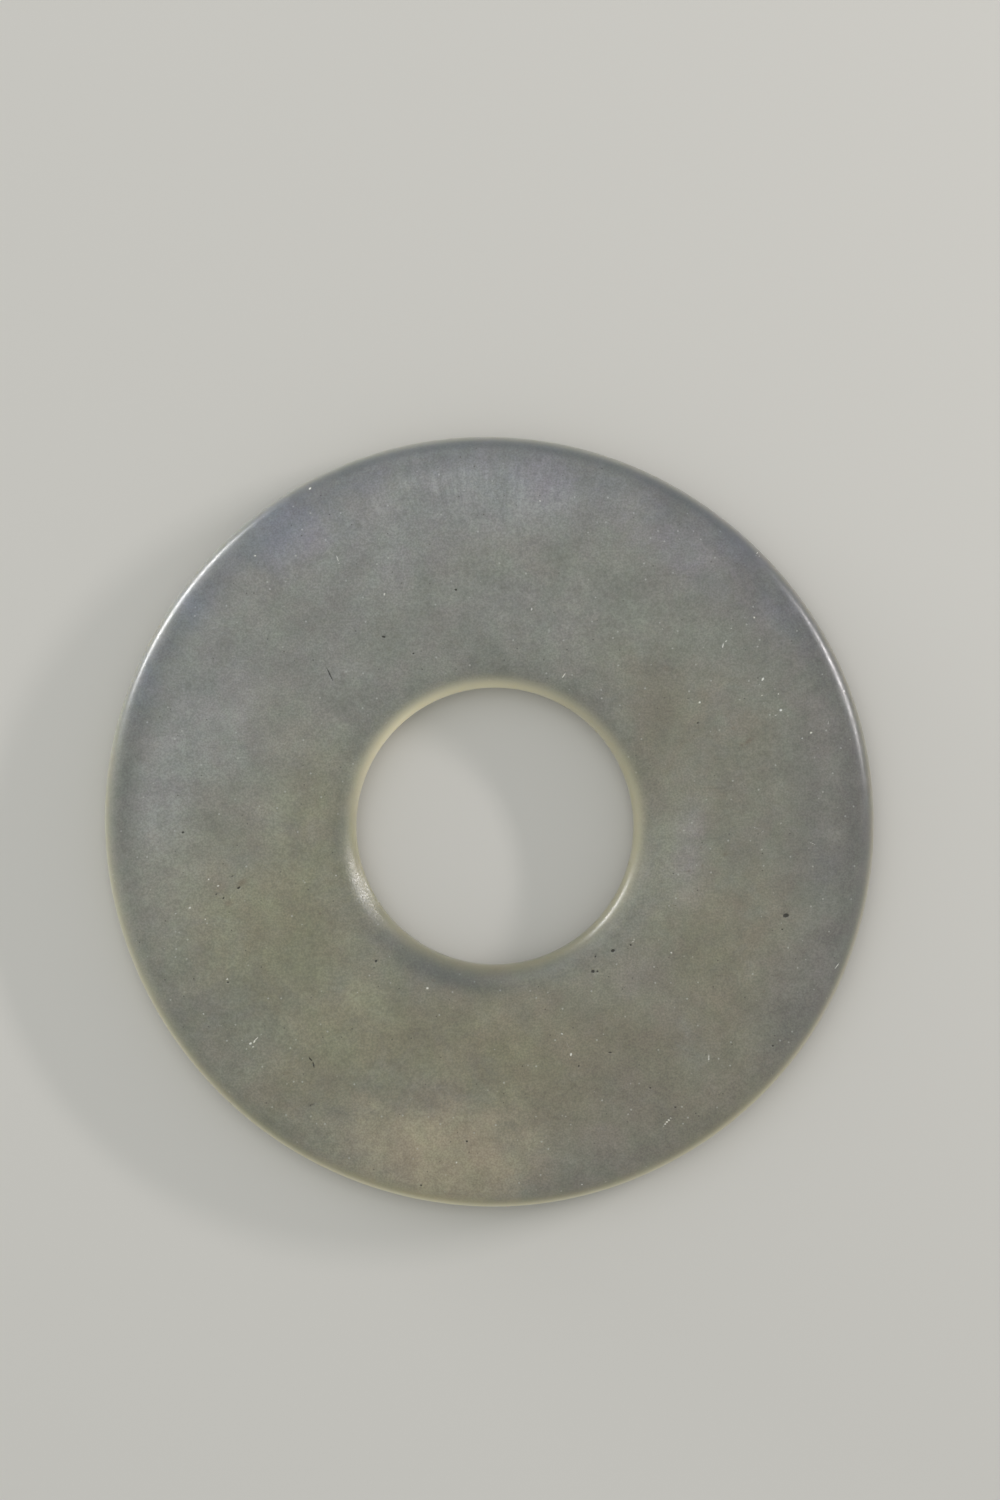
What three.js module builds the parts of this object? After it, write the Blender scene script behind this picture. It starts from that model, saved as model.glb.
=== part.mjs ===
// A plain jade bi: a flat ring ground by hand from one slab of pale nephrite.
//
// Millimetres, +Z up. The disc lies on its back, the flat face at z = 0. The origin is
// on that face, under the middle of the outline, and +Y is the disc's top as it hangs.

import * as THREE from "three";

// Driving dimensions.
const RIM_RADIUS = 60; // mean outer radius
const HOLE_RADIUS = 21.6; // the hole at its narrowest
const HALF_THICKNESS = 3.1; // from the middle of an edge to either face
const HOLE_SHIFT = { x: 0.82, y: -0.67 }; // the hole was drilled a little off the middle

// Each edge is a rounded nose on the end of a long, gentle taper.
const HOLE_EDGE = { noseWidth: 3.4, taperWidth: 5.6, taperDrop: 0.5 };
const RIM_EDGE = { noseWidth: 2.8, taperWidth: 9, taperDrop: 0.8 };

// The rim isn't a true circle. Each lobe stands out by its height at its angle, in
// degrees, and at even steps from there, count times round.
const RIM_LOBES = [
  { count: 2, height: 0.22, angle: 130.5 },
  { count: 4, height: 0.05, angle: 8 },
  { count: 5, height: 0.03, angle: 30 },
  { count: 7, height: 0.03, angle: 22 },
];

// The front face swells between its edges, and swells most towards one side.
const FACE_SWELL = 0.25;
const SWELL_LEAN = 0.12;
const LEAN_ANGLE = 160;

// How finely the round and the curved stretches are faceted.
const ROUND_STEPS = 96;
const NOSE_STEPS = 7;
const TAPER_STEPS = 3;
const FRONT_STEPS = 4;
const BACK_STEPS = 2;

const radians = THREE.MathUtils.degToRad;
const { lerp, smoothstep } = THREE.MathUtils;

// Height above the middle of an edge, at a distance in from it: a quarter of an
// ellipse for the nose, plus a quarter of a sine wave for the taper.
function rise(edge, distance) {
  const nose = Math.min(distance / edge.noseWidth, 1);
  const taper = Math.min(distance / edge.taperWidth, 1);
  const noseHeight = HALF_THICKNESS - edge.taperDrop;
  return (
    noseHeight * Math.sqrt(1 - (1 - nose) ** 2) +
    edge.taperDrop * Math.sin((taper * Math.PI) / 2)
  );
}

// Distances in from an edge where the section has a point, closest together at the tip.
function edgeStations(edge) {
  const distances = [];
  for (let i = 0; i < NOSE_STEPS; i++) {
    const turn = ((i / NOSE_STEPS) * Math.PI) / 2;
    distances.push(edge.noseWidth * (1 - Math.cos(turn)));
  }
  for (let i = 0; i <= TAPER_STEPS; i++) {
    distances.push(lerp(edge.noseWidth, edge.taperWidth, i / TAPER_STEPS));
  }
  return distances;
}

// One side of the section from the hole's edge to the rim, as points of radius and
// height. side is 1 for the front and -1 for the back.
function sideProfile(side, faceSteps) {
  const height = (edge, distance) =>
    HALF_THICKNESS + side * rise(edge, distance);
  const points = edgeStations(HOLE_EDGE).map(
    (d) => new THREE.Vector2(HOLE_RADIUS + d, height(HOLE_EDGE, d)),
  );
  const faceStart = HOLE_RADIUS + HOLE_EDGE.taperWidth;
  const faceEnd = RIM_RADIUS - RIM_EDGE.taperWidth;
  for (let i = 1; i < faceSteps; i++) {
    const radius = lerp(faceStart, faceEnd, i / faceSteps);
    points.push(
      new THREE.Vector2(radius, HALF_THICKNESS + side * HALF_THICKNESS),
    );
  }
  const outer = edgeStations(RIM_EDGE).map(
    (d) => new THREE.Vector2(RIM_RADIUS - d, height(RIM_EDGE, d)),
  );
  return points.concat(outer.reverse());
}

// The whole section, along the back from the hole's edge to the rim and home again
// along the front.
function section() {
  const back = sideProfile(-1, BACK_STEPS);
  const front = sideProfile(1, FRONT_STEPS).reverse();
  return [...back, ...front.slice(1)];
}

// How far the rim stands out from its mean radius at an angle, in radians.
function lobes(angle) {
  return RIM_LOBES.reduce(
    (sum, lobe) =>
      sum + lobe.height * Math.cos(lobe.count * (angle - radians(lobe.angle))),
    0,
  );
}

// Turns the true ring into the hand-ground one: the outline takes its lobes, the hole
// its shift and the front face its swell. The back stays flat.
function grindByHand(ring) {
  const place = ring.getAttribute("position");
  const holeZone = HOLE_RADIUS + HOLE_EDGE.taperWidth;
  const rimZone = RIM_RADIUS - RIM_EDGE.taperWidth;
  for (let i = 0; i < place.count; i++) {
    const radius = Math.hypot(place.getX(i), place.getY(i));
    const angle = Math.atan2(place.getY(i), place.getX(i));
    const outward = smoothstep(radius, holeZone, rimZone);
    const across = (radius - HOLE_RADIUS) / (RIM_RADIUS - HOLE_RADIUS);
    const swell =
      FACE_SWELL + SWELL_LEAN * Math.cos(angle - radians(LEAN_ANGLE));
    const isFront = place.getZ(i) > HALF_THICKNESS;
    const ground = radius + outward * lobes(angle);
    place.setXYZ(
      i,
      ground * Math.cos(angle) + (1 - outward) * HOLE_SHIFT.x,
      ground * Math.sin(angle) + (1 - outward) * HOLE_SHIFT.y,
      place.getZ(i) + (isFront ? swell * Math.sin(across * Math.PI) : 0),
    );
  }
}

// Moves the ring so that the middle of its outline is over the origin.
function centreOutline(ring) {
  ring.computeBoundingBox();
  const middle = ring.boundingBox.getCenter(new THREE.Vector3());
  ring.translate(-middle.x, -middle.y, 0);
}

function jadeDisc() {
  const ring = new THREE.LatheGeometry(section(), ROUND_STEPS);
  ring.rotateX(Math.PI / 2);
  grindByHand(ring);
  centreOutline(ring);
  ring.computeVertexNormals();
  const jade = new THREE.MeshStandardMaterial({
    color: 0xa3a48f,
    roughness: 0.4,
    metalness: 0,
  });
  const disc = new THREE.Mesh(ring, jade);
  disc.name = "jade_disc";
  return disc;
}

const bi = new THREE.Group();
bi.add(jadeDisc());

export default bi;
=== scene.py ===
# %% [markdown]
# # A jade disc, lying on a pale floor
#
# The object is a bi: a flat ring of pale nephrite, ground and polished by hand some
# five thousand years ago. It has no moving part and no second piece, so all the work
# goes into one surface: its slightly uneven form, the clouds in the stone, the thin
# edges that let light through, and the pits and scratches of its age.
#
# The imported part is the fixed frame. It is loaded first.

# %% Load the part
import math

import bmesh
import bpy
import numpy as np
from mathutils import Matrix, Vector


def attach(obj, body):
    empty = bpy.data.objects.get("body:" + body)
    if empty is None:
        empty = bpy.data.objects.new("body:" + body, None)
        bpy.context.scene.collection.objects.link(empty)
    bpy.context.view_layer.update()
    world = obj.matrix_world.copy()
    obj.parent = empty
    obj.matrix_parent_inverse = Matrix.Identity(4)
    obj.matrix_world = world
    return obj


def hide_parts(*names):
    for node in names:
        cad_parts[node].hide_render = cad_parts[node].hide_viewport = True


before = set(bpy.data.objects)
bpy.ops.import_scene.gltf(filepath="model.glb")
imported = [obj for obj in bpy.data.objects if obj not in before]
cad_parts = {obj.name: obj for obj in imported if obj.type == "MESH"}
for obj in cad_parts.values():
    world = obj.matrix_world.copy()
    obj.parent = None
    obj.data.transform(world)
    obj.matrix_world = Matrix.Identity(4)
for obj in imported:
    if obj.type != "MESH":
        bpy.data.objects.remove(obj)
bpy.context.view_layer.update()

MM = 0.001

# %% [markdown]
# ## The section
#
# A lathe would turn this ring from one outline, its section. Each edge of the section
# is a rounded nose on the end of a long, gentle taper, because the maker ground the
# slab thinner towards its edges and then rounded them. The rise of the surface above
# the middle of an edge is a quarter of an ellipse for the nose plus a quarter of a sine
# wave for the taper.

# %% The edges
# Millimetres, as in the solid. The face lies between the ends of the two tapers.
RIM_RADIUS = 60.0
HOLE_RADIUS = 21.6
HALF_THICKNESS = 3.1
HOLE_EDGE = {"nose": 3.4, "taper": 5.6, "drop": 0.5}
RIM_EDGE = {"nose": 2.8, "taper": 9.0, "drop": 0.8}
FACE_START = HOLE_RADIUS + HOLE_EDGE["taper"]
FACE_END = RIM_RADIUS - RIM_EDGE["taper"]


def rise(edge, distance):
    """Height above the middle of an edge, in mm, at a distance in from it.

    A nose as high as the half thickness less the drop, times the root of
    1 - (1 - distance / nose) squared, plus the drop times the sine of a quarter turn
    shared out over the taper.
    """
    nose = np.minimum(distance / edge["nose"], 1)
    taper = np.minimum(distance / edge["taper"], 1)
    nose_rise = (HALF_THICKNESS - edge["drop"]) * np.sqrt(1 - (1 - nose) ** 2)
    return nose_rise + edge["drop"] * np.sin(taper * math.pi / 2)


def stations(edge, nose_steps, taper_steps):
    """Distances in from an edge, closest together at its tip.

    On the nose they are nose times (1 - cos of even steps of a quarter turn), and on
    the taper they are even.
    """
    turn = np.linspace(0, math.pi / 2, nose_steps, endpoint=False)
    taper = np.linspace(edge["nose"], edge["taper"], taper_steps + 1)
    return np.concatenate([edge["nose"] * (1 - np.cos(turn)), taper])


# %% [markdown]
# One side of the section runs from the hole to the rim: the stations of the hole's
# edge, the flat between the tapers, and the stations of the rim's edge in reverse. The
# front gets more steps than the back, since it carries the fine forms.

# %% One side of the section
def side(face_steps, nose_steps, taper_steps):
    """Radii from the hole to the rim and the rise of the surface at each."""
    hole = stations(HOLE_EDGE, nose_steps, taper_steps)
    rim = stations(RIM_EDGE, nose_steps, taper_steps)
    face = np.linspace(FACE_START, FACE_END, face_steps + 1)[1:-1]
    radii = np.concatenate([HOLE_RADIUS + hole, face, (RIM_RADIUS - rim)[::-1]])
    rises = np.where(
        radii < (HOLE_RADIUS + RIM_RADIUS) / 2,
        rise(HOLE_EDGE, radii - HOLE_RADIUS),
        rise(RIM_EDGE, RIM_RADIUS - radii),
    )
    return radii, rises


front_radii, front_rises = side(face_steps=36, nose_steps=12, taper_steps=9)
back_radii, back_rises = side(face_steps=12, nose_steps=9, taper_steps=4)
section_radii = np.concatenate([front_radii, back_radii[::-1][1:-1]])
section_heights = HALF_THICKNESS + np.concatenate([front_rises, -back_rises[::-1][1:-1]])
print(len(section_radii), "points round the section")

# %% [markdown]
# ## From a true ring to one ground by hand
#
# Going round the axis gives a true ring. The real one isn't: its outline is a little
# oval, its hole was drilled off the middle, and its front swells between the edges. Each
# of these is a small shift added to every point at once, as the solid has it.

# %% Grind the ring
HOLE_SHIFT = (0.82, -0.67)
# Each lobe: how often it comes round, its height in mm, its angle in degrees.
RIM_LOBES = ((2, 0.22, 130.5), (4, 0.05, 8), (5, 0.03, 30), (7, 0.03, 22))
FACE_SWELL, SWELL_LEAN, LEAN_ANGLE = 0.25, 0.12, 160
ROUND_STEPS = 640


def smoothstep(value, low, high):
    """0 below low, 1 above high, and 3 t squared - 2 t cubed between them."""
    t = np.clip((value - low) / (high - low), 0, 1)
    return t * t * (3 - 2 * t)


def rim_lobes(angle):
    """How far the rim stands out: the sum of height times cos(count (angle - its angle))."""
    return sum(
        height * np.cos(count * (angle - math.radians(at)))
        for count, height, at in RIM_LOBES
    )


def ring(radii, heights, angles):
    """The ground ring as arrays x, y, z, a row for each point of the section.

    The radius grows by the lobes, shared in from the rim by a smooth step, and the
    hole's shift is shared in from the hole by what is left. The front rises by the
    swell times half a sine wave from the hole to the rim. At the end the middle of the
    outline is moved to x = 0, y = 0.
    """
    radius, angle = np.meshgrid(radii, angles, indexing="ij")
    height = np.repeat(heights[:, None], len(angles), axis=1)
    outward = smoothstep(radius, FACE_START, FACE_END)
    across = (radius - HOLE_RADIUS) / (RIM_RADIUS - HOLE_RADIUS)
    swell = FACE_SWELL + SWELL_LEAN * np.cos(angle - math.radians(LEAN_ANGLE))
    ground = radius + outward * rim_lobes(angle)
    x = ground * np.cos(angle) + (1 - outward) * HOLE_SHIFT[0]
    y = ground * np.sin(angle) + (1 - outward) * HOLE_SHIFT[1]
    z = height + np.where(height > HALF_THICKNESS, swell * np.sin(across * math.pi), 0)
    return x - (x.max() + x.min()) / 2, y - (y.max() + y.min()) / 2, z


angles = np.linspace(0, math.tau, ROUND_STEPS, endpoint=False)
x, y, z = ring(section_radii, section_heights, angles)
print("ring:", [round(float(np.ptp(a)), 2) for a in (x, y, z)], "mm")

# %% [markdown]
# ## Hand polish
#
# Under a raking light a surface polished by hand is never quite even. A few long, low
# waves in random directions give the front that unevenness. They fade out at the edges,
# and the back keeps its flat, so the disc still lies still.

# %% Low waves on the front
WAVE_COUNT, WAVE_LENGTHS, WAVE_HEIGHT = 9, (14, 42), 0.03
FADE_START, FADE_END = 0.3, 5  # mm in from an edge, over which the waves set in
random = np.random.default_rng(5)


def waves(x, y, count, lengths, height):
    """Height times the sum of count cosine waves, over the root of their count.

    Each wave has its own direction, length and start. With the root, more waves don't
    stand higher.
    """
    total = np.zeros_like(x)
    for _ in range(count):
        heading, start = random.uniform(0, math.tau, 2)
        length = random.uniform(*lengths)
        along = x * math.cos(heading) + y * math.sin(heading)
        total += np.cos(along * math.tau / length + start)
    return height * total / math.sqrt(count)


row_radii = section_radii[:, None] + 0 * x
from_rim = RIM_RADIUS - row_radii
from_hole = row_radii - HOLE_RADIUS
on_front = z > HALF_THICKNESS
inside = smoothstep(np.minimum(from_rim, from_hole), FADE_START, FADE_END) * on_front
low_waves = waves(x, y, WAVE_COUNT, WAVE_LENGTHS, WAVE_HEIGHT) * inside
z = z + low_waves
print("waves:", round(float(np.ptp(low_waves)), 3), "mm from trough to crest")

# %% [markdown]
# ## Clouds in the stone
#
# Nephrite is felted from tiny fibres, and where they change the stone clouds over. The
# clouds run right through a thin slab, so each one is a soft patch in plan, the same on
# both faces. A patch is a bell curve on an ellipse, a little flatter in the middle than
# the usual one. Patches of one kind are joined as 1 - (1 - a)(1 - b), so that they never
# add up to more than 1. Each kind becomes one number on every vertex, which the material
# reads by name.

# %% Where the clouds are
# Each patch: middle x and y, half width and half height, turn in degrees, strength.
CLOUDS = {
    "warm": (
        (16, -40, 30, 18, 0, 0.9),
        (-6, -31, 16, 7, 0, 0.6),
        (38, -22, 14, 18, 0, 0.6),
        (27, 14, 9, 14, -20, 0.6),
        (-30, -44, 22, 9, -35, 0.6),
        (38, 3, 12, 10, 0, 0.4),
    ),
    "pale": (
        (-46, -8, 16, 20, 0, 0.52),
        (-28, 0, 9, 20, 0, 0.47),
        (-25, -15, 7, 7, 0, 0.5),
        (15, -26, 5, 4, 0, 0.5),
        (-18, -26, 14, 9, 0, 0.45),
        (31, -6, 6, 9, 0, 0.6),
        (40, 14, 7, 7, 0, 0.45),
        (-22, -50, 9, 6, -25, 0.6),
    ),
    "dusk": (
        (55, 6, 9, 26, 0, 0.8),
        (50, -28, 9, 15, -30, 0.75),
        (42, 38, 8, 18, 42, 0.8),
        (16, -52, 18, 7, 18, 0.5),
        (28, -28, 6, 5, 0, 0.4),
        (22, -40, 9, 7, 0, 0.35),
    ),
    "olive": (
        (-33, -18, 16, 14, 20, 0.7),
        (-22, -34, 15, 10, 10, 0.6),
        (-26, 0, 7, 13, 0, 0.5),
        (2, -37, 12, 7, 0, 0.4),
        (22, 25, 9, 7, -30, 0.25),
        (32, -18, 10, 12, 0, 0.3),
    ),
    "milk": (
        (-50, 6, 6, 13, -10, 0.7),
        (-42, 22, 8, 9, -40, 0.5),
        (-41, 11, 7, 7, 0, 0.5),
        (-17, 43, 17, 9, 25, 0.55),
        (4, 50.5, 15, 6.5, -8, 0.8),
        (-24, 24, 11, 9, 0, 0.35),
        (4, 34, 18, 9, 0, 0.35),
        (34, 27, 6, 5, 0, 0.2),
        (33, -38, 5, 7, 20, 0.3),
        (-37, -36, 8, 5, 40, 0.3),
    ),
    "brown": (
        (41, 14, 6, 5, 20, 0.35),
        (36, 20, 6, 6, 0, 0.35),
        (34, 9, 6, 6, 0, 0.35),
        (43, -13, 10, 10, 0, 0.35),
        (-41, -9, 5, 4, 0, 0.45),
        (-26, -47, 12, 4, -35, 0.3),
        (38, -40, 10, 5, 40, 0.35),
    ),
    "lilac": (
        (31, -4, 4, 10, -8, 0.5),
        (24, -24, 9, 4, 35, 0.3),
        (8, 54, 16, 5, -8, 0.4),
        (-28, 44, 10, 5, 35, 0.5),
        (30, 42, 12, 6, -42, 0.5),
    ),
    "steel": (
        (-46, 35, 7, 4, 60, 0.55),
        (-33, 46, 9, 5, 38, 0.6),
        (-20, 53, 6, 3, 20, 0.3),
        (-54, 22, 4, 9, -22, 0.5),
        (35, 46, 9, 3, -38, 0.4),
        (46, 33, 10, 4, -55, 0.45),
        (52, -6, 3, 8, 0, 0.3),
    ),
    "beige": ((-6.5, -52.4, 14.5, 9, -4, 1.0), (-17, -47.5, 7, 4, -30, 0.35)),
}


def ellipse_distance(patch, x, y):
    """0 in the middle of an ellipse and 1 on its outline.

    It is the root of along^2 + across^2, counted in half lengths and half widths.
    """
    mid_x, mid_y, half_length, half_width, turn, _ = patch
    c, s = math.cos(math.radians(turn)), math.sin(math.radians(turn))
    along = ((x - mid_x) * c + (y - mid_y) * s) / half_length
    across = ((y - mid_y) * c - (x - mid_x) * s) / half_width
    return np.hypot(along, across)


def either(*shares):
    """Shares joined as 1 less the product of what each leaves."""
    return 1 - math.prod(1 - share for share in shares)


def cloud(patch, x, y):
    """Strength times e^-(ellipse distance to the power 2.4)."""
    return patch[-1] * np.exp(-(ellipse_distance(patch, x, y) ** 2.4))


masks = {
    name: either(*(cloud(patch, x, y) for patch in patches))
    for name, patches in CLOUDS.items()
}
for name, mask in masks.items():
    print(f"{name}: covers {np.mean(mask > 0.3):.0%} of the points")

# %% [markdown]
# ## Thin edges, with painted shade and glow
#
# Where the slab thins, less light comes back out of it and the stone looks darker and
# bluer. At the very edge light passes right through, and the stone glows a pale yellow.
# Both are painted into the colour as bands along an edge, painted shade and painted glow,
# stronger in some directions than others, as the light falls more from some sides. Each
# band is given its strength round the disc as a few arcs, and then its place and width
# across the edge.

# %% Arcs round the disc
# Each arc: which way it faces in degrees, half its spread, strength.
# Painted shade on the thin edges: close to the rim, wide round the rim, round the hole and
# close to the hole.
RIM_SHADE = (
    (92, 26, 1.0),
    (58, 18, 0.7),
    (30, 22, 0.7),
    (2, 24, 0.65),
    (330, 20, 0.3),
    (122, 16, 0.5),
)
RIM_SHADE_WIDE = (
    (148, 26, 0.45),
    (182, 20, 0.3),
    (97, 22, 0.48),
    (61, 20, 0.36),
    (12, 28, 0.35),
    (318, 38, 0.2),
)
HOLE_SHADE = ((252, 34, 1.0), (298, 18, 0.25), (180, 16, 0.5), (20, 20, 0.15))
HOLE_SHADE_CLOSE = ((278, 38, 0.65),)
# A painted bluish cast of light over the upper left.
BLUE_LIGHT_SIDE = ((118, 56, 1.0), (55, 26, 0.5))
# Painted glow and its painted yellow tint: light through the thin edges, stronger where the
# light falls.
RIM_GLOW = ((262, 60, 0.75),)
HOLE_GLOW = ((115, 50, 1.0), (20, 60, 0.43))
RIM_YELLOW = ((265, 85, 1.0),)
HOLE_SPARKLE = ((206, 20, 1.0), (318, 18, 0.15))
RIM_SPARKLE = ((146, 24, 0.1), (22, 20, 0.15))
RIM_STROKES = ((95, 24, 1.0), (30, 30, 0.35))
HOLLOW_ARC = ((206, 21, 1.0),)


def facing(arcs, angle, least=0.0):
    """How strong a band is at each angle: least plus bell curves on the arcs, up to 1."""
    total = np.full_like(angle, least)
    for at, spread, strength in arcs:
        away = np.angle(np.exp(1j * (angle - math.radians(at))))
        total += strength * np.exp(-((away / math.radians(spread)) ** 2))
    return np.minimum(total, 1)


def band(distance, middle, width):
    """A bell curve across an edge: e^-((distance - middle) / width, squared)."""
    return np.exp(-(((distance - middle) / width) ** 2))


# %% [markdown]
# The painted shade darkens the thin edges, and the painted glow and its painted yellow tint
# lie at their tips. The worn bands are where hands have smoothed the stone. Coarse crystals
# sparkle on a stretch of each edge, and the grinding strokes show a little way in from the
# rim. The blue side is a painted bluish cast of light, faint over the whole upper left and
# strongest near the rim.

# %% Bands along the edges
# Each band: the edge it follows, its middle and half width in mm in from there, its
# least strength all round, and its arcs.
BANDS = {
    # Painted shade on the thin edges.
    "edge_shade": (
        (from_rim, 1.2, 1.1, 0.0, RIM_SHADE),
        (from_rim, 3.0, 2.4, 0.0, RIM_SHADE_WIDE),
        (from_hole, 2.6, 2.1, 0.0, HOLE_SHADE),
        (from_hole, 1.4, 0.9, 0.0, HOLE_SHADE_CLOSE),
    ),
    # Painted glow of light through the thin edges, and its painted yellow tint.
    "rim_glow": ((from_rim, 0.0, 0.6, 0.1, RIM_GLOW),),
    "hole_glow": ((from_hole, 0.0, 1.3, 0.08, HOLE_GLOW),),
    "glow_tint": ((from_rim, 0.7, 0.8, 0.0, RIM_YELLOW), (from_hole, 0.8, 0.9, 0.7, ())),
    "worn": ((from_rim, 0.0, 1.6, 1.0, ()), (from_hole, 0.0, 1.8, 1.0, ())),
    "sparkle": (
        (from_hole, 1.6, 1.3, 0.0, HOLE_SPARKLE),
        (from_rim, 0.8, 0.8, 0.0, RIM_SPARKLE),
    ),
    "ground": ((from_rim, 7.0, 4.0, 0.0, RIM_STROKES),),
}
BLUE_ALL_OVER = 0.35  # how much of the blue tint reaches the middle of the face

turn = np.broadcast_to(angles, x.shape)
for name, rows in BANDS.items():
    masks[name] = either(
        *(
            band(distance, middle, width) * facing(arcs, turn, least)
            for distance, middle, width, least, arcs in rows
        )
    )
# The painted bluish cast of light: faint over the upper left, strongest near the rim.
near_rim = band(from_rim, 3.0, 8.0)
masks["blue"] = facing(BLUE_LIGHT_SIDE, turn) * (BLUE_ALL_OVER + (1 - BLUE_ALL_OVER) * near_rim)
for name in (*BANDS, "blue"):
    print(f"{name}: covers {np.mean(masks[name] > 0.3):.0%} of the points")

# %% [markdown]
# At its lower left the hole's edge was ground back a little more than elsewhere. That
# leaves a shallow hollow in the slope, and its coarse crystals glint. The hollow is one
# more band along the hole, taken off the height, and it starts from nothing at the tip
# of the edge so that the hole keeps its size.

# %% The hollow by the hole
HOLLOW_DEPTH, HOLLOW_MIDDLE, HOLLOW_WIDTH, HOLLOW_START = 0.42, 1.0, 1.5, 0.5
across_slope = band(from_hole, HOLLOW_MIDDLE, HOLLOW_WIDTH)
across_slope = across_slope * smoothstep(from_hole, 0, HOLLOW_START) * on_front
hollow = HOLLOW_DEPTH * across_slope * facing(HOLLOW_ARC, turn)
z = z - hollow
print("hollow:", round(float(hollow.max()), 2), "mm deep")

# %% [markdown]
# ## The mesh
#
# The grid closes on itself both ways: round the axis and round the section. Each face
# joins a point to the next one round, and np.roll finds every neighbour at once. Besides
# the clouds and bands, each point keeps its place on the lathe: how far round the rim,
# how far in from it and how high, in mm.

# %% Turn the grid into a mesh
def closed_mesh(name, x, y, z):
    """A mesh of four-sided faces on a grid that wraps both ways, in metres."""
    rows, columns = x.shape
    index = np.arange(rows * columns).reshape(rows, columns)
    next_column = np.roll(index, -1, axis=1)
    corners = np.stack(
        [index, np.roll(index, -1, axis=0), np.roll(next_column, -1, axis=0), next_column],
        axis=-1,
    ).reshape(-1, 4)
    mesh = bpy.data.meshes.new(name)
    mesh.from_pydata(np.stack([x, y, z], axis=-1).reshape(-1, 3) * MM, [], corners)
    mesh.polygons.foreach_set("use_smooth", np.ones(len(corners), bool))
    return mesh


def store(mesh, name, values):
    """Keeps one number for each vertex under a name that a material can read."""
    layer = mesh.attributes.new(name, "FLOAT", "POINT")
    layer.data.foreach_set("value", values.astype(np.float32).ravel())


disc_mesh = closed_mesh("jade_ring", x, y, z)
for name, mask in masks.items():
    store(disc_mesh, name, mask)
round_in_up = np.stack([turn * RIM_RADIUS, from_rim, z], axis=-1)
lathe_place = disc_mesh.attributes.new("lathe_place", "FLOAT_VECTOR", "POINT")
lathe_place.data.foreach_set("vector", round_in_up.astype(np.float32).ravel())
print(len(disc_mesh.polygons) * 2, "triangles")

# %% [markdown]
# ## Pits, stains and scuffs
#
# Five thousand years have left small pits with dark earth in them, rusty stains round
# some of the pits, and pale scuffs and scratches. They are too small for the grid, so the
# faces round each one are cut into sixteen first. Each mark is then a bell curve on a
# small ellipse, long and thin for a scratch, and is kept on the vertices for the colour.

# %% Where the marks are
# Each mark: middle x and y, half length, half width, turn in degrees, strength.
PITS = (
    (46.1, -14.5, 0.5, 0.34, 10, 1.0),
    (45.5, -16.7, 0.16, 0.14, 0, 0.8),
    (19.2, -20.0, 0.34, 0.24, 20, 1.0),
    (16.1, -23.2, 0.36, 0.28, 10, 0.8),
    (16.8, -23.2, 0.22, 0.2, 0, 0.7),
    (16.5, -20.9, 0.24, 0.18, 60, 0.6),
    (22.0, -19.1, 0.2, 0.16, 0, 0.8),
    (-5.2, 36.1, 0.2, 0.18, 0, 1.0),
    (-16.4, 28.8, 0.36, 0.2, -10, 0.8),
    (-11.8, 26.2, 0.22, 0.16, 0, 0.7),
    (-20.8, 29.7, 0.14, 0.12, 0, 0.7),
    (-17.6, -21.6, 0.2, 0.19, 0, 1.0),
    (-47.6, -1.6, 0.2, 0.17, 0, 1.0),
    (-55.6, -5.8, 0.18, 0.15, 0, 0.5),
    (-3.5, -49.6, 0.19, 0.17, 0, 1.0),
    (-10.6, -56.5, 0.22, 0.18, 0, 0.7),
    (44.1, -34.8, 0.19, 0.16, 0, 0.9),
    (25.0, -41.3, 0.16, 0.13, 0, 0.9),
    (28.9, -44.3, 0.2, 0.18, 0, 0.7),
    (13.9, -37.9, 0.28, 0.13, 75, 0.7),
    (18.8, -35.8, 0.4, 0.13, 0, 0.7),
    (31.4, -36.2, 0.45, 0.13, -15, 0.45),
    (-40.6, -24.9, 0.17, 0.14, 0, 0.9),
    (-45.9, -24.4, 0.32, 0.12, 90, 0.6),
    (-38.9, -10.2, 0.34, 0.2, 40, 0.8),
    (-41.3, -11.8, 0.26, 0.16, 60, 0.7),
    (-42.4, -11.2, 0.16, 0.13, 0, 0.7),
    (-40.4, -14.0, 0.16, 0.12, 0, 0.6),
    (-39.9, -8.4, 0.4, 0.14, 25, 0.5),
    (-54.4, -18.7, 0.15, 0.12, 0, 0.7),
    (-31.9, -39.2, 0.28, 0.18, 0, 0.45),
    (-27.7, -44.0, 0.7, 0.22, 25, 0.5),
    (-15.1, -33.8, 0.15, 0.12, 80, 0.7),
    (30.9, 19.2, 0.24, 0.13, -20, 0.6),
    (32.4, 15.4, 0.17, 0.14, 0, 0.8),
    (27.5, 23.5, 0.3, 0.2, 0, 0.4),
    (36.5, -5.4, 0.36, 0.24, 30, 0.4),
    (28.6, -8.0, 0.16, 0.12, 0, 0.6),
    (28.9, -13.0, 0.16, 0.12, 0, 0.6),
    (-24.8, 23.0, 1.5, 0.1, -65, 0.8),
    (-27.8, -36.8, 0.45, 0.11, -50, 1.0),
    (-27.3, -37.7, 0.5, 0.11, -75, 1.0),
    (55.6, 19.8, 0.3, 0.1, 20, 0.4),
)
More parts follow.
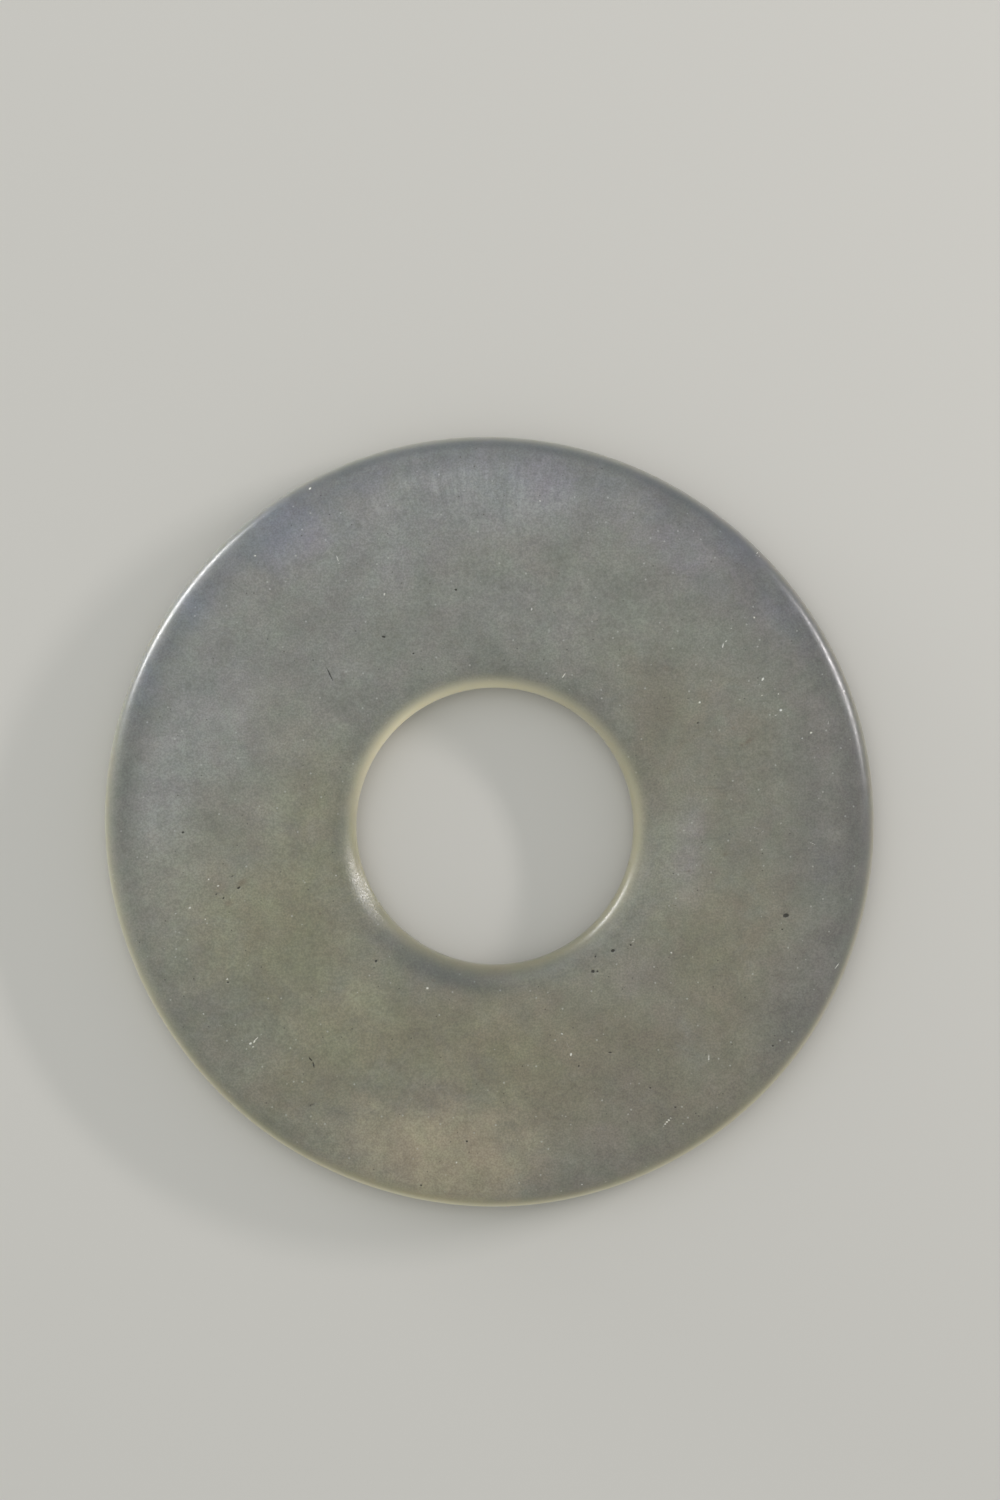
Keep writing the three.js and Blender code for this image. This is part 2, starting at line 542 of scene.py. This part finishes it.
STAINS = (
    (40.3, 12.6, 1.0, 0.4, 35, 0.6),
    (39.2, 12.0, 0.5, 0.3, -20, 0.5),
    (37.9, 14.6, 0.4, 0.3, 0, 0.6),
    (41.6, 15.8, 0.6, 0.3, 60, 0.4),
    (32.7, -1.5, 0.5, 0.2, 70, 0.5),
    (32.9, -4.0, 0.4, 0.2, -60, 0.5),
    (33.1, -6.8, 0.5, 0.25, 80, 0.5),
    (31.0, -7.6, 0.4, 0.2, 20, 0.5),
    (36.6, -5.0, 0.6, 0.4, 20, 0.5),
    (29.3, -10.6, 0.5, 0.2, -70, 0.4),
    (-38.5, -9.5, 1.2, 0.6, 35, 0.6),
    (-40.6, -12.6, 0.9, 0.6, 10, 0.5),
    (-41.9, -9.8, 0.6, 0.4, 70, 0.4),
    (-26.3, -14.2, 0.24, 0.18, 0, 0.9),
    (-30.4, -5.2, 1.0, 0.25, 85, 0.4),
    (-24.4, -15.5, 0.6, 0.3, 40, 0.35),
    (31.9, 25.7, 0.6, 0.4, -30, 0.4),
    (27.4, 23.9, 0.8, 0.5, 20, 0.4),
    (-31.6, -39.0, 0.8, 0.5, 0, 0.4),
    (-27.4, -43.7, 1.2, 0.5, 25, 0.4),
    (-8.7, -24.6, 0.4, 0.3, 0, 0.5),
    (42.7, -26.3, 0.4, 0.2, 60, 0.5),
    (35.4, -14.0, 0.3, 0.2, 0, 0.5),
)
SCUFFS = (
    (11.6, 22.8, 0.62, 0.09, 55, 0.7),
    (36.3, 27.4, 0.5, 0.1, 75, 0.8),
    (36.8, 28.1, 0.28, 0.09, 25, 0.8),
    (39.6, 31.7, 1.5, 0.07, 2, 0.5),
    (41.2, 31.8, 0.16, 0.15, 0, 0.9),
    (42.5, 22.2, 0.3, 0.16, 60, 0.9),
    (42.0, 21.4, 0.2, 0.1, 0, 0.6),
    (44.9, 19.9, 0.14, 0.13, 0, 0.8),
    (45.3, 17.4, 0.2, 0.17, 0, 1.0),
    (42.7, 18.5, 0.3, 0.08, 5, 0.6),
    (50.0, 13.9, 0.18, 0.14, 0, 1.0),
    (52.7, 15.4, 0.36, 0.16, 85, 0.5),
    (32.7, 18.6, 0.17, 0.15, 0, 1.0),
    (41.7, 41.8, 0.5, 0.07, 60, 0.7),
    (42.1, 41.5, 0.4, 0.06, 60, 0.6),
    (6.6, 33.1, 0.26, 0.14, 80, 0.7),
    (9.3, 29.8, 0.5, 0.2, 90, 0.4),
    (7.9, 49.9, 0.15, 0.13, 0, 0.8),
    (-23.6, 41.0, 0.7, 0.09, -70, 0.7),
    (-23.4, 40.2, 0.25, 0.09, 20, 0.7),
    (-16.3, 35.4, 0.4, 0.12, 75, 0.7),
    (-27.9, 51.9, 0.3, 0.18, 60, 0.7),
    (-36.4, 41.4, 0.15, 0.14, 0, 0.9),
    (-43.6, -8.9, 0.15, 0.13, 0, 0.8),
    (-42.1, -9.9, 0.2, 0.14, 0, 0.8),
    (-46.5, -13.3, 0.18, 0.15, 0, 0.9),
    (-48.7, -14.2, 0.15, 0.13, 0, 0.7),
    (-44.1, -15.1, 0.15, 0.13, 0, 0.7),
    (-40.7, -24.4, 0.17, 0.14, 0, 0.9),
    (-37.1, -34.4, 0.24, 0.15, 20, 1.0),
    (-36.5, -34.1, 0.2, 0.14, 60, 1.0),
    (-36.7, -34.9, 0.16, 0.13, 0, 0.8),
    (-36.2, -33.7, 0.5, 0.07, 48, 0.9),
    (-35.5, -33.0, 0.3, 0.07, 35, 0.7),
    (-37.6, -35.2, 0.4, 0.06, 35, 0.6),
    (-38.4, -33.9, 0.14, 0.12, 0, 0.6),
    (-41.8, -31.6, 0.9, 0.08, -15, 0.5),
    (-40.9, -32.3, 0.6, 0.07, 5, 0.5),
    (-44.4, -29.8, 0.2, 0.16, 0, 0.6),
    (-9.6, -25.8, 0.18, 0.16, 0, 1.0),
    (-20.5, -26.5, 0.14, 0.12, 0, 0.7),
    (-5.1, -52.9, 0.17, 0.15, 0, 0.8),
    (14.4, -56.4, 0.16, 0.12, 0, 0.7),
    (28.3, -20.3, 0.18, 0.15, 0, 0.7),
    (11.3, -32.9, 0.25, 0.14, -40, 0.6),
    (12.7, -36.1, 0.3, 0.17, 70, 0.8),
    (12.2, -34.6, 0.9, 0.08, -65, 0.4),
    (34.1, -36.6, 0.62, 0.09, 87, 0.9),
    (27.5, -46.7, 0.85, 0.07, 54, 1.0),
    (28.0, -46.3, 0.7, 0.06, 54, 0.8),
    (21.6, -45.4, 0.24, 0.16, 0, 0.5),
    (28.6, -49.3, 0.6, 0.07, 0, 0.4),
    (16.4, -41.9, 0.6, 0.07, -40, 0.4),
    (54.1, -22.4, 0.85, 0.08, 52, 0.6),
    (50.2, -3.3, 0.6, 0.07, -25, 0.7),
    (22.3, -18.6, 0.3, 0.1, 40, 0.7),
    (-23.8, -8.3, 0.15, 0.12, 0, 0.6),
    (55.2, 20.4, 0.2, 0.1, 100, 0.7),
    (53.8, 26.7, 0.15, 0.12, 0, 0.7),
    (44.6, 16.6, 0.35, 0.09, 10, 0.6),
    (42.4, 19.7, 0.15, 0.12, 0, 0.8),
    (48.6, 13.0, 0.14, 0.12, 0, 0.7),
    (37.6, 30.1, 0.2, 0.12, 40, 0.5),
    (26.4, 29.4, 0.35, 0.08, 50, 0.5),
    (26.9, 30.0, 0.25, 0.08, -40, 0.5),
    (41.4, -0.9, 0.7, 0.09, -20, 0.5),
    (42.5, -1.5, 0.5, 0.08, 40, 0.5),
    (45.3, -0.2, 0.3, 0.1, 60, 0.5),
)
print(len(PITS), "pits,", len(STAINS), "stains and", len(SCUFFS), "scuffs")

# %% [markdown]
# bmesh can cut some faces and leave the rest. Its cuts carry every stored number over
# to the new points, so the bands and clouds come through unchanged. Three cuts each way
# make sixteen faces of one.

# %% Cut the faces round each mark
CUTS = 3
MARK_MARGIN = 0.45  # mm cut finer round each mark


def near_marks(x, y, marks):
    """True where a point is on a mark or within the margin round it."""
    near = np.zeros(x.shape, bool)
    for mark in marks:
        grown = (*mark[:2], mark[2] + MARK_MARGIN, mark[3] + MARK_MARGIN, *mark[4:])
        near |= ellipse_distance(grown, x, y) < 1
    return near


centres = np.empty(len(disc_mesh.polygons) * 3, np.float32)
disc_mesh.polygons.foreach_get("center", centres)
centres = centres.reshape(-1, 3) / MM
to_cut = near_marks(centres[:, 0], centres[:, 1], PITS + STAINS + SCUFFS)
to_cut &= centres[:, 2] > HALF_THICKNESS

bm = bmesh.new()
bm.from_mesh(disc_mesh)
bm.faces.ensure_lookup_table()
edges = {edge for i in np.flatnonzero(to_cut) for edge in bm.faces[i].edges}
bmesh.ops.subdivide_edges(bm, edges=list(edges), cuts=CUTS, use_grid_fill=True)
bmesh.ops.triangulate(bm, faces=[face for face in bm.faces if len(face.verts) > 4])
bm.to_mesh(disc_mesh)
bm.free()
print(np.count_nonzero(to_cut), "faces cut finer")

# %% [markdown]
# Pits and scuffs press the surface in, and stains only colour it. Where two marks of one
# kind overlap, the stronger one counts.

# %% Press the marks in
PIT_DEPTH, SCUFF_DEPTH = 0.14, 0.03  # mm, at full strength

points = np.empty(len(disc_mesh.vertices) * 3, np.float32)
disc_mesh.vertices.foreach_get("co", points)
points = points.reshape(-1, 3) / MM
front_point = points[:, 2] > HALF_THICKNESS


def field(marks):
    """The strongest mark at each point: strength times e^-(distance squared)."""
    strongest = np.zeros(len(points))
    for mark in marks:
        distance = ellipse_distance(mark, points[:, 0], points[:, 1])
        strongest = np.maximum(strongest, mark[-1] * np.exp(-(distance**2)))
    return strongest * front_point


pits, scuffs = field(PITS), field(SCUFFS)
store(disc_mesh, "pit", pits)
store(disc_mesh, "stain", field(STAINS))
store(disc_mesh, "scuff", scuffs)
points[:, 2] -= PIT_DEPTH * pits + SCUFF_DEPTH * scuffs
disc_mesh.vertices.foreach_set("co", (points * MM).ravel())
disc_mesh.update()

disc = bpy.data.objects.new("jade_ring", disc_mesh)
bpy.context.scene.collection.objects.link(disc)
triangles = sum(len(face.vertices) - 2 for face in disc_mesh.polygons)
print(triangles, "triangles in all")

# %% [markdown]
# ## Helpers for materials
#
# A material is a graph of nodes. These few helpers keep each step to a line: one places
# a node and fills its inputs, and the rest are the steps that come back again and again.
# The settings go in before the inputs, since some of them change which inputs there are.

# %% Node helpers
def place(tree, kind, inputs=None, **settings):
    """Adds a node. An input is given a number, a colour or another node's output."""
    node = tree.nodes.new(kind)
    for name, value in settings.items():
        setattr(node, name, value)
    for key, value in (inputs or {}).items():
        if isinstance(value, bpy.types.NodeSocket):
            tree.links.new(value, node.inputs[key])
        else:
            node.inputs[key].default_value = value
    return node


def maths(tree, operation, *values):
    """One step of arithmetic, such as a sum or a product."""
    inputs = dict(enumerate(values))
    return place(tree, "ShaderNodeMath", inputs, operation=operation).outputs[0]


def attribute(tree, name):
    """The number kept on each vertex under this name."""
    return place(tree, "ShaderNodeAttribute", attribute_name=name).outputs["Fac"]


def lumps(tree, where, size, detail=2.0, roughness=0.5, distortion=0.0):
    """Cloudy noise from -0.5 to 0.5, mostly within 0.25 of 0, in lumps about size across."""
    inputs = {
        "Vector": where,
        "Scale": 1 / size,
        "Detail": detail,
        "Roughness": roughness,
        "Distortion": distortion,
    }
    cloudy = place(tree, "ShaderNodeTexNoise", inputs).outputs[0]
    return maths(tree, "SUBTRACT", cloudy, 0.5)


def ramp(tree, value, low, high, to_low=0.0, to_high=1.0):
    """Carries low..high over to to_low..to_high with soft ends."""
    inputs = {
        "Value": value,
        "From Min": low,
        "From Max": high,
        "To Min": to_low,
        "To Max": to_high,
    }
    node = place(tree, "ShaderNodeMapRange", inputs, interpolation_type="SMOOTHSTEP")
    return node.outputs[0]


def blend(tree, share, first, second, how="MIX"):
    """Two colours mixed: all first at 0, and at 1 all second, or for MULTIPLY their product.

    In a mix of colours, input 0 is the share, 6 and 7 are the colours and output 2 is
    the result.
    """
    inputs = {0: share, 6: first, 7: second}
    node = place(tree, "ShaderNodeMix", inputs, data_type="RGBA", blend_type=how)
    return node.outputs[2]


def colour(code):
    """A display colour such as 0x8A8B7E as the linear numbers that nodes work in.

    The curve between them is a straight line near black and a power of 2.4 above it.
    """
    shares = [(code >> shift & 255) / 255 for shift in (16, 8, 0)]
    return [s / 12.92 if s < 0.04045 else ((s + 0.055) / 1.055) ** 2.4 for s in shares] + [1]


# %% [markdown]
# ## Jade
#
# The stone is translucent, so the shader lets light wander under the surface and come
# out a few millimetres away, red farthest and blue least. Its colour starts as a grey
# sage. Each kind of cloud tints it, with noise at the border so that no patch has a
# drawn edge, and the whole stone leans a little to green here and to red there. The bands
# come later: painted shade, painted glow and a painted bluish cast of light at the edges.
# The marks come last, because they belong to the surface and not to the stone.

# %% The colour of the stone
jade = bpy.data.materials.new("clouded nephrite")
jade.use_nodes = True
tree = jade.node_tree
tree.nodes.clear()

in_metres = place(tree, "ShaderNodeTexCoord").outputs["Object"]
to_mm = place(tree, "ShaderNodeMapping", {"Vector": in_metres, "Scale": (1 / MM,) * 3})
where = to_mm.outputs[0]

SAGE = colour(0x888A7E)
# Each tint: its colour, its share at most, and how soft its border is.
TINTS = {
    "warm": (colour(0x88836D), 0.85, 0.5),
    "pale": (colour(0x9A9A88), 0.85, 0.5),
    "dusk": (colour(0x7E7D77), 0.8, 0.5),
    "olive": (colour(0x8E8C6A), 0.7, 0.5),
    "milk": (colour(0x9B9E99), 0.8, 0.5),
    "brown": (colour(0x867D6C), 0.6, 0.35),
    "lilac": (colour(0x959397), 0.7, 0.4),
    "steel": (colour(0x7B8187), 0.8, 0.5),
    "beige": (colour(0xA49D85), 0.95, 0.45),
}

DRIFT = 0.9  # how far noise moves the borders

stone = SAGE
wisps = lumps(tree, where, size=7, detail=6, roughness=0.66, distortion=0.6)
drift = maths(tree, "MULTIPLY", wisps, DRIFT)
for name, (tint, most, soft) in TINTS.items():
    ragged = maths(tree, "ADD", attribute(tree, name), drift)
    share = ramp(tree, ragged, 0.5 - soft, 0.5 + soft, 0, most)
    stone = blend(tree, share, stone, tint)

GREENER, REDDER = (0.975, 0.992, 0.983, 1), (1.025, 0.975, 1.008, 1)
patches = lumps(tree, where, size=5, detail=4, roughness=0.6, distortion=0.4)
lean = blend(tree, ramp(tree, patches, -0.2, 0.2), GREENER, REDDER)
stone = blend(tree, 1.0, stone, lean, "MULTIPLY")
print(len(TINTS), "tints in", len(tree.nodes), "nodes")

# %% [markdown]
# Finer mottling is laid over the clouds in several sizes, from wisps down to the felted
# grain, each a little lighter or darker than what is under it. It is fainter where hands
# have worn the edges smooth. Near the rim the grinding left short strokes that point at
# the axis, so their noise is stretched along the radius, and it reads each point's place
# on the lathe, not its place in space.

# %% Mottling and strokes
def grey(tree, shade):
    """The same number in red, green and blue."""
    inputs = {"Red": shade, "Green": shade, "Blue": shade}
    return place(tree, "ShaderNodeCombineColor", inputs).outputs[0]


# Each layer: size in mm, detail, how far it lightens and darkens.
MOTTLES = ((9, 4, 0.115), (3.2, 2, 0.07), (0.8, 2, 0.045), (0.3, 1, 0.15))
WORN_AWAY = 0.8  # how much of the texture is gone where the edges are most worn
STROKE_SCALE = (1.1, 0.16, 0.3)  # strokes in a mm round, in from the rim and up
STROKE_DEPTH = 0.8

worn = attribute(tree, "worn")
off_edge = maths(tree, "SUBTRACT", 1.0, maths(tree, "MULTIPLY", worn, WORN_AWAY))
for size, detail, depth in MOTTLES:
    mottle = lumps(tree, where, size, detail, roughness=0.6)
    shade = ramp(tree, mottle, -0.25, 0.25, 1 - depth, 1 + depth)
    stone = blend(tree, off_edge, stone, grey(tree, shade), "MULTIPLY")

lathe = place(tree, "ShaderNodeAttribute", attribute_name="lathe_place").outputs["Vector"]
on_lathe = place(tree, "ShaderNodeMapping", {"Vector": lathe, "Scale": STROKE_SCALE})
strokes = lumps(tree, on_lathe.outputs[0], size=1, detail=3, roughness=0.6)
depth = maths(tree, "MULTIPLY", attribute(tree, "ground"), STROKE_DEPTH)
stroke_shade = maths(tree, "ADD", 1.0, maths(tree, "MULTIPLY", strokes, depth))
stone = blend(tree, 1.0, stone, grey(tree, stroke_shade), "MULTIPLY")
print(len(MOTTLES), "layers of mottling, and the strokes")

# %% [markdown]
# Scattered all over are pale flecks and dark pinpricks far too many to place by hand.
# A Voronoi pattern gives one point to each cell, and a dot is drawn round the points of
# those few cells whose random colour is bright enough.

# %% Flecks and pinpricks
FLECK, EARTH = colour(0xC6C7BE), colour(0x2E2B24)
DOT_CORE = 0.4  # a dot is solid within this share of its radius
DOT_SHARE = 0.6  # how much of a dot's colour shows


def dots(tree, where, cell, radius, share):
    """In this share of the cells, a dot out to radius mm, fainter on the worn edges."""
    cells = place(tree, "ShaderNodeTexVoronoi", {"Vector": where, "Scale": 1 / cell})
    chosen = maths(tree, "GREATER_THAN", cells.outputs["Color"], 1 - share)
    dot = ramp(tree, cells.outputs["Distance"], radius / cell, DOT_CORE * radius / cell)
    shown = maths(tree, "MULTIPLY", maths(tree, "MULTIPLY", dot, chosen), off_edge)
    return maths(tree, "MULTIPLY", shown, DOT_SHARE)


stone = blend(tree, dots(tree, where, cell=1.3, radius=0.2, share=0.35), stone, FLECK)
stone = blend(tree, dots(tree, where, cell=1.5, radius=0.16, share=0.4), stone, EARTH)
print("flecks and pinpricks:", len(tree.nodes), "nodes so far")

# %% [markdown]
# The bands of painted light and shade are laid on after the flecks. The painted bluish
# cast of light, the painted shade and the painted yellow tint of the glow multiply what is
# there, so the texture shows through them, and the painted glow covers it.

# %% The bands of painted light and shade
# Painted light and shade, multiplied into the colour: the bluish cast, the edge shade and
# the yellow of the glow.
BAND_TINTS = {
    "blue": (0.99, 1.0, 1.13, 1),
    "edge_shade": (0.46, 0.49, 0.54, 1),
    "glow_tint": (1.0, 0.96, 0.8, 1),
}
# The pale yellow of the painted glow, the light through the thin edges.
YELLOW_GLOW = colour(0xE2DBBC)
for name, tint in BAND_TINTS.items():
    stone = blend(tree, attribute(tree, name), stone, tint, "MULTIPLY")
# Painted glow laid over the colour at the tips of the edges.
for name in ("rim_glow", "hole_glow"):
    stone = blend(tree, attribute(tree, name), stone, YELLOW_GLOW)
print(len(BAND_TINTS), "tinted bands and two glows")

# %% [markdown]
# Last come the marks. Fine noise frays their outlines. The stains are rusty, the scuffs
# are pale, bruised stone, and dark earth lies in the pits, over both.

# %% The marks
# Each mark: the strength where its outline starts and where it is full, the share of
# its colour that shows, and the colour.
MARK_COLOURS = {
    "stain": (0.1, 0.8, 0.5, colour(0x6E5A48)),
    "scuff": (0.22, 0.6, 0.9, colour(0xECECE4)),
    "pit": (0.25, 0.55, 0.9, EARTH),
}
FRAY = 0.5

frays = lumps(tree, where, size=0.22, detail=2, roughness=0.7)
fray = maths(tree, "MULTIPLY", frays, FRAY)
marked = {}
for name, (start, full, share, tint) in MARK_COLOURS.items():
    frayed = maths(tree, "ADD", attribute(tree, name), fray)
    marked[name] = ramp(tree, frayed, start, full)
    stone = blend(tree, maths(tree, "MULTIPLY", marked[name], share), stone, tint)
print("marks in the colour:", ", ".join(marked))

# %% [markdown]
# The polish is satin and not quite even. It is brighter on the edges, where hands have
# held the disc, and duller in the pits and scuffs. The roughness never falls below 0.28:
# on a smoother edge the highlight is so thin that the renderer's noise filter leaves it
# ragged.

# %% The polish
SHINIEST, DULLEST = 0.34, 0.48  # roughness over the face
HANDLED = 0.14  # how much smoother the edges are
SMOOTHEST = 0.28
MARK_DULLNESS = 0.3

uneven = lumps(tree, where, size=1.6, detail=5, roughness=0.65)
gloss = ramp(tree, uneven, -0.2, 0.2, SHINIEST, DULLEST)
smoothed = maths(tree, "SUBTRACT", gloss, maths(tree, "MULTIPLY", worn, HANDLED))
in_marks = maths(tree, "MAXIMUM", marked["pit"], marked["scuff"])
dull = maths(tree, "MULTIPLY", in_marks, MARK_DULLNESS)
roughness = maths(tree, "ADD", maths(tree, "MAXIMUM", smoothed, SMOOTHEST), dull)
print("roughness:", SMOOTHEST, "to", round(DULLEST + MARK_DULLNESS, 2))

# %% [markdown]
# Two sizes of bump give the surface its fine, dry grain, which is rougher where the edge
# sparkles. There the ends of coarser crystals also stand up, and they glint one by one.

# %% The grain
# Each layer of grain: size in mm, detail, height in mm.
GRAIN, FINE_GRAIN, CRYSTALS = (0.9, 3, 0.014), (0.28, 2, 0.012), (0.4, 2, 0.055)
ROUGHER = 2.2  # how much higher the grain is where the edge sparkles


def bumps(tree, size, detail, height):
    """Lumps about size mm across, at most height mm from trough to crest."""
    return maths(tree, "MULTIPLY", lumps(tree, where, size, detail, roughness=0.6), height)


sparkle = attribute(tree, "sparkle")
strength = maths(tree, "ADD", off_edge, maths(tree, "MULTIPLY", sparkle, ROUGHER))
grain = maths(tree, "ADD", bumps(tree, *GRAIN), bumps(tree, *FINE_GRAIN))
crystals = maths(tree, "MULTIPLY", bumps(tree, *CRYSTALS), sparkle)
height = maths(tree, "ADD", maths(tree, "MULTIPLY", grain, strength), crystals)
bump = place(tree, "ShaderNodeBump", {"Height": height, "Distance": MM, "Strength": 1.0})
print("crystals up to", CRYSTALS[-1], "mm high")

# %% [markdown]
# All of it goes into one shader. Nephrite bends light a little more than glass does, and
# light travels a few millimetres in it.

# %% The shader
shader = place(
    tree,
    "ShaderNodeBsdfPrincipled",
    {
        "Base Color": stone,
        "Roughness": roughness,
        "Normal": bump.outputs[0],
        "IOR": 1.61,
        "Subsurface Weight": 0.8,
        "Subsurface Radius": (1.0, 0.92, 0.68),
        "Subsurface Scale": 2.5 * MM,
    },
)
place(tree, "ShaderNodeOutputMaterial", {"Surface": shader.outputs[0]})
disc_mesh.materials.append(jade)
print(len(tree.nodes), "nodes in the jade")

# %% [markdown]
# ## Tie the surface to the part
#
# The fine ring stands for the plain solid, which stays hidden for the simulation.

# %% Ride and replace
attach(disc, "root")
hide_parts("jade_disc")

# %% [markdown]
# ## Floor, light and camera
#
# The disc can't stand by itself, so it lies on its back on a pale floor and the camera
# looks straight down at its face.

# %% The floor
FLOOR_HALF = 3.0  # metres
corners = np.array([(-1, -1, 0), (1, -1, 0), (1, 1, 0), (-1, 1, 0)]) * FLOOR_HALF
floor_mesh = bpy.data.meshes.new("floor")
floor_mesh.from_pydata(corners, [], [(0, 1, 2, 3)])
floor = bpy.data.objects.new("floor", floor_mesh)
bpy.context.scene.collection.objects.link(floor)

plaster = bpy.data.materials.new("pale plaster")
plaster.use_nodes = True
plaster_shader = plaster.node_tree.nodes["Principled BSDF"]
plaster_shader.inputs["Base Color"].default_value = colour(0xD6D4CE)
plaster_shader.inputs["Roughness"].default_value = 0.85
floor_mesh.materials.append(plaster)
print("floor:", 2 * FLOOR_HALF, "m across")

# %% [markdown]
# The disc lies in a light tent: a pale room, dim overhead and bright low down, so the
# face keeps its own colour and the edges catch the light. One soft panel gives the room
# a direction. Two long, low strips skim the disc from the upper left and from the right
# and pick out its rounded edges, once on the rim and once across the hole.

# %% The panels
def panel(name, azimuth, elevation, distance, size, power, tint=(1, 1, 1)):
    """A rectangular lamp facing the disc, from two angles in degrees and a distance.

    Distance and size are in metres and power in watts.
    """
    lamp = bpy.data.lights.new(name, "AREA")
    lamp.shape = "RECTANGLE"
    lamp.size, lamp.size_y = size
    lamp.energy = power
    lamp.color = tint
    a, e = math.radians(azimuth), math.radians(elevation)
    towards = Vector((math.cos(a) * math.cos(e), math.sin(a) * math.cos(e), math.sin(e)))
    lit = bpy.data.objects.new(name, lamp)
    lit.location = towards * distance
    lit.rotation_euler = towards.to_track_quat("Z", "Y").to_euler()
    bpy.context.scene.collection.objects.link(lit)
    print(name, "at", power, "W")


panel("soft panel", 118, 58, 1.5, (1.5, 1.5), 5)
panel("left strip", 146, 2.2, 0.8, (0.34, 0.04), 4.2)
panel("right strip", 22, 15, 0.75, (0.24, 0.031), 2.7, tint=(1, 0.95, 0.95))

# %% [markdown]
# The tent is the world's own light. Its strength depends only on how high a direction
# points: the closer to the horizon, the brighter, by the square of 1 less the height.

# %% The light tent
OVERHEAD, LOW_DOWN = 0.475, 0.94
TENT_COLOUR = (0.98, 1, 0.99, 1)

world = bpy.data.worlds.new("light tent")
bpy.context.scene.world = world
world.use_nodes = True
tent = world.node_tree
direction = place(tent, "ShaderNodeTexCoord").outputs["Generated"]
up = place(tent, "ShaderNodeSeparateXYZ", {"Vector": direction}).outputs["Z"]
low = maths(tent, "POWER", maths(tent, "SUBTRACT", 1.0, maths(tent, "ABSOLUTE", up)), 2.0)
brightness = ramp(tent, low, 0, 1, OVERHEAD, LOW_DOWN)
tent.links.new(brightness, tent.nodes["Background"].inputs["Strength"])
tent.nodes["Background"].inputs["Color"].default_value = TENT_COLOUR
print("tent:", OVERHEAD, "overhead,", LOW_DOWN, "low down")

# %% [markdown]
# A long lens well above the disc shows it with hardly any perspective. The camera stands
# a little off the middle, and the plain view transform leaves the colours as they are.

# %% The camera
CAMERA_HEIGHT = 650.6  # mm above the middle of the slab
CAMERA_SHIFT_X, CAMERA_SHIFT_Y = 1.67, 11.2
LENS, SENSOR_WIDTH = 100, 36

camera = bpy.data.objects.new("camera", bpy.data.cameras.new("camera"))
camera.data.lens = LENS
camera.data.sensor_width = SENSOR_WIDTH
above = CAMERA_HEIGHT + HALF_THICKNESS
camera.location = (CAMERA_SHIFT_X * MM, CAMERA_SHIFT_Y * MM, above * MM)
bpy.context.scene.collection.objects.link(camera)
bpy.context.scene.camera = camera
bpy.context.scene.view_settings.view_transform = "Standard"
print("camera:", round(above * MM, 3), "m above the floor")
